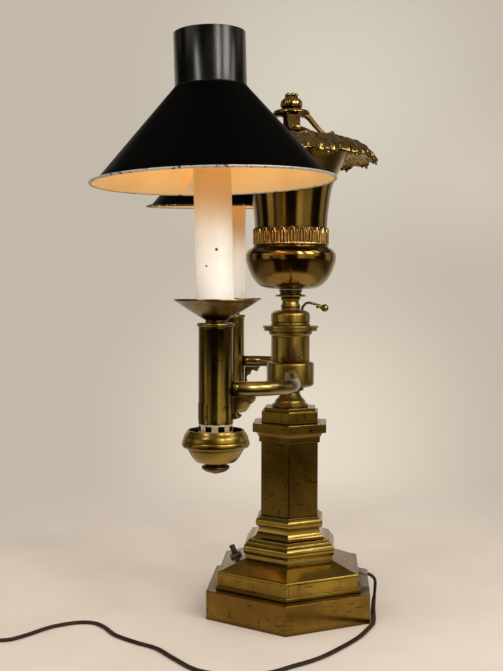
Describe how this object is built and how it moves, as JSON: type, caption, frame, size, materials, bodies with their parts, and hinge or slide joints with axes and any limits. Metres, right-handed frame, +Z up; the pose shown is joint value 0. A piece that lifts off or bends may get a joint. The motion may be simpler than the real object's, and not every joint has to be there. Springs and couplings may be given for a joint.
{
  "type": "argand lamp",
  "caption": "Table lamp with an urn font on a hexagonal stepped pedestal, with two side arms that carry burner tubes, candle covers and black cone shades",
  "frame": {"origin": "the centre of the base's underside, on the surface that the lamp stands on", "axes": "+Z up; the burners stand forward of the column, to -Y; the arms lead out along +X and -X"},
  "size_m": [0.6006, 0.5231, 0.5766],
  "materials": {
    "brass": "aged polished brass, olive where it has darkened",
    "dark_brass": "cast brass, darkened in its hollows",
    "gilt_brass": "gilded, rubbed on its high parts",
    "brown_bronze": "dark reddish brown patina",
    "steel": "dull steel",
    "black_paint": "satin black outside, cream inside",
    "candle_ivory": "ivory, a little waxy",
    "porcelain": "glazed off-white",
    "bulb_glass": "warm frosted glass",
    "brown_plastic": "dark brown",
    "grey_plastic": "grey brown",
    "felt": "green felt"
  },
  "bodies": {
    "stand": {"plinth": "brass", "base_felt": "felt", "stepped_base": "brass", "base_moulding": "brass", "column_shaft": "brass", "capital": "brass", "cap_block": "brass", "tie_rod": "steel", "tie_rod_nut": "steel", "baluster_knop": "brass", "receiver": "brass", "flange_ring": "brass", "right_escutcheon": "brown_bronze", "right_arm_coupling": "brass", "right_arm": "brass", "right_arm_bracket": "dark_brass", "right_burner_tube": "brass", "right_burner_cap": "brass", "right_air_gallery": "brass", "right_drip_pan": "brass", "right_candle_cover": "candle_ivory", "right_socket": "porcelain", "right_bulb": "bulb_glass", "left_escutcheon": "brown_bronze", "left_arm_coupling": "brass", "left_arm": "brass", "left_arm_bracket": "dark_brass", "left_burner_tube": "brass", "left_burner_cap": "brass", "left_air_gallery": "brass", "left_drip_pan": "brass", "left_candle_cover": "candle_ivory", "left_socket": "porcelain", "left_bulb": "bulb_glass", "switch_body": "brown_plastic", "switch_nut": "steel", "cord_gland": "grey_plastic", "cord": "brown_plastic", "cord_coil": "brown_plastic", "plug": "brown_plastic"},
    "font": {"font_dome": "brass", "font_spigot": "brass", "font_neck": "brass", "font_bowl": "brass", "leaf_band": "gilt_brass", "font_vase": "brass", "leaf_rim": "brass", "font_lid": "brass", "crown": "dark_brass", "bud_finial": "dark_brass"},
    "valve": {"valve_rod": "brass"},
    "right_shade_set": {"right_shade": "black_paint", "right_shade_spider": "steel"},
    "left_shade_set": {"left_shade": "black_paint", "left_shade_spider": "steel"},
    "right_cup_set": {"right_drip_cup": "brass", "right_cup_finial": "brown_bronze"},
    "left_cup_set": {"left_drip_cup": "brass", "left_cup_finial": "brown_bronze"},
    "button": {"switch_button": "dark_brass"}
  },
  "joints": [
    {"name": "font_lift", "type": "slide", "parent": "stand", "child": "font", "axis": [0, 0, 1], "range_m": [0, 0.06]},
    {"name": "valve_lift", "type": "slide", "parent": "font", "child": "valve", "axis": [0, 0, 1], "range_m": [0, 0.004]},
    {"name": "right_shade_lift", "type": "slide", "parent": "stand", "child": "right_shade_set", "axis": [0, -0.0279, 0.9996], "range_m": [0, 0.1]},
    {"name": "left_shade_lift", "type": "slide", "parent": "stand", "child": "left_shade_set", "axis": [0, 0, 1], "range_m": [0, 0.1]},
    {"name": "right_cup_drop", "type": "slide", "parent": "stand", "child": "right_cup_set", "axis": [0, 0, -1], "range_m": [0, 0.02]},
    {"name": "left_cup_drop", "type": "slide", "parent": "stand", "child": "left_cup_set", "axis": [0, 0, -1], "range_m": [0, 0.02]},
    {"name": "switch_press", "type": "slide", "parent": "stand", "child": "button", "axis": [0.0216, 0.3751, -0.9267], "range_m": [0, 0.0025], "stiffness_N_per_m": 300}
  ]
}
